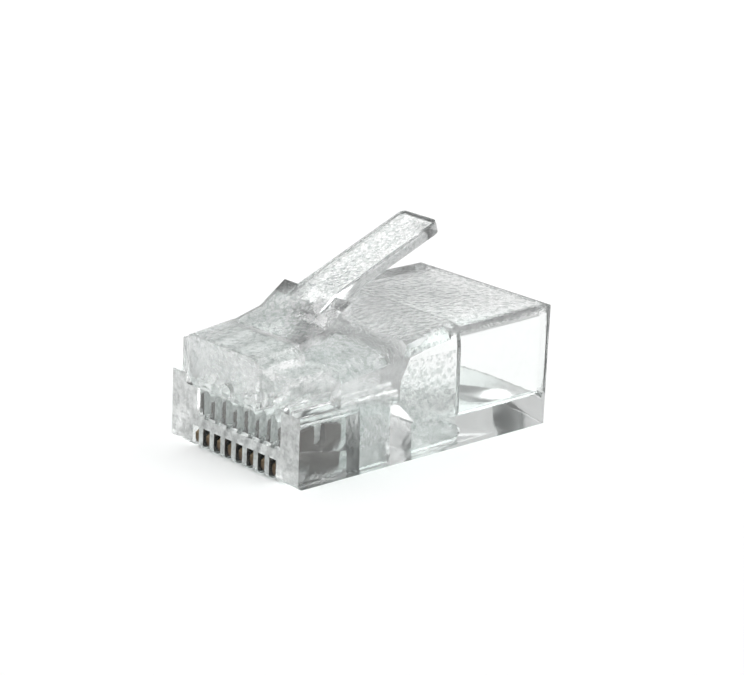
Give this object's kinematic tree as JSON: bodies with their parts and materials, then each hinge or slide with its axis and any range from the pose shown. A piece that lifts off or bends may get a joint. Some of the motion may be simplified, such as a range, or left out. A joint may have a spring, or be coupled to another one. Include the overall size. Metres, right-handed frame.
{
  "type": "modular plug",
  "caption": "Clear modular plug for a twisted-pair network cable, uncrimped, with a sprung locking latch and gold-plated contacts.",
  "frame": {"origin": "centre of the plug's width and length, on the plane of its contact side", "axes": "+Z from the contact side towards the latch side, +Y from the nose towards the cable entry, +X across the plug"},
  "size_m": [0.0116, 0.0218, 0.0131],
  "materials": {
    "clear_plastic": "gloss, clear moulded polycarbonate",
    "contact_gold": "satin gold plating over stamped phosphor bronze"
  },
  "bodies": {
    "housing": {"housing": "clear_plastic"},
    "latch": {"latch": "clear_plastic"},
    "contacts": {"contact_1": "contact_gold", "contact_2": "contact_gold", "contact_3": "contact_gold", "contact_4": "contact_gold", "contact_5": "contact_gold", "contact_6": "contact_gold", "contact_7": "contact_gold", "contact_8": "contact_gold"},
    "conductor_bar": {"conductor_bar": "clear_plastic"},
    "jacket_bar": {"jacket_bar": "clear_plastic"}
  },
  "joints": [
    {"name": "latch_flex", "type": "hinge", "parent": "housing", "child": "latch", "pos_m": [0, -0.00709, 0.0075], "axis": [-1, 0, 0], "range_deg": [0, 16], "stiffness_Nm_per_rad": 0.1},
    {"name": "contact_crimp", "type": "slide", "parent": "housing", "child": "contacts", "axis": [0, 0, 1], "range_m": [0, 0.0005]},
    {"name": "conductor_bar_crimp", "type": "slide", "parent": "housing", "child": "conductor_bar", "axis": [0, 0, 1], "range_m": [0, 0.0006]},
    {"name": "jacket_bar_crimp", "type": "hinge", "parent": "housing", "child": "jacket_bar", "pos_m": [0, 0.00399, 0.00052], "axis": [-1, 0, 0], "range_deg": [0, 28]}
  ]
}
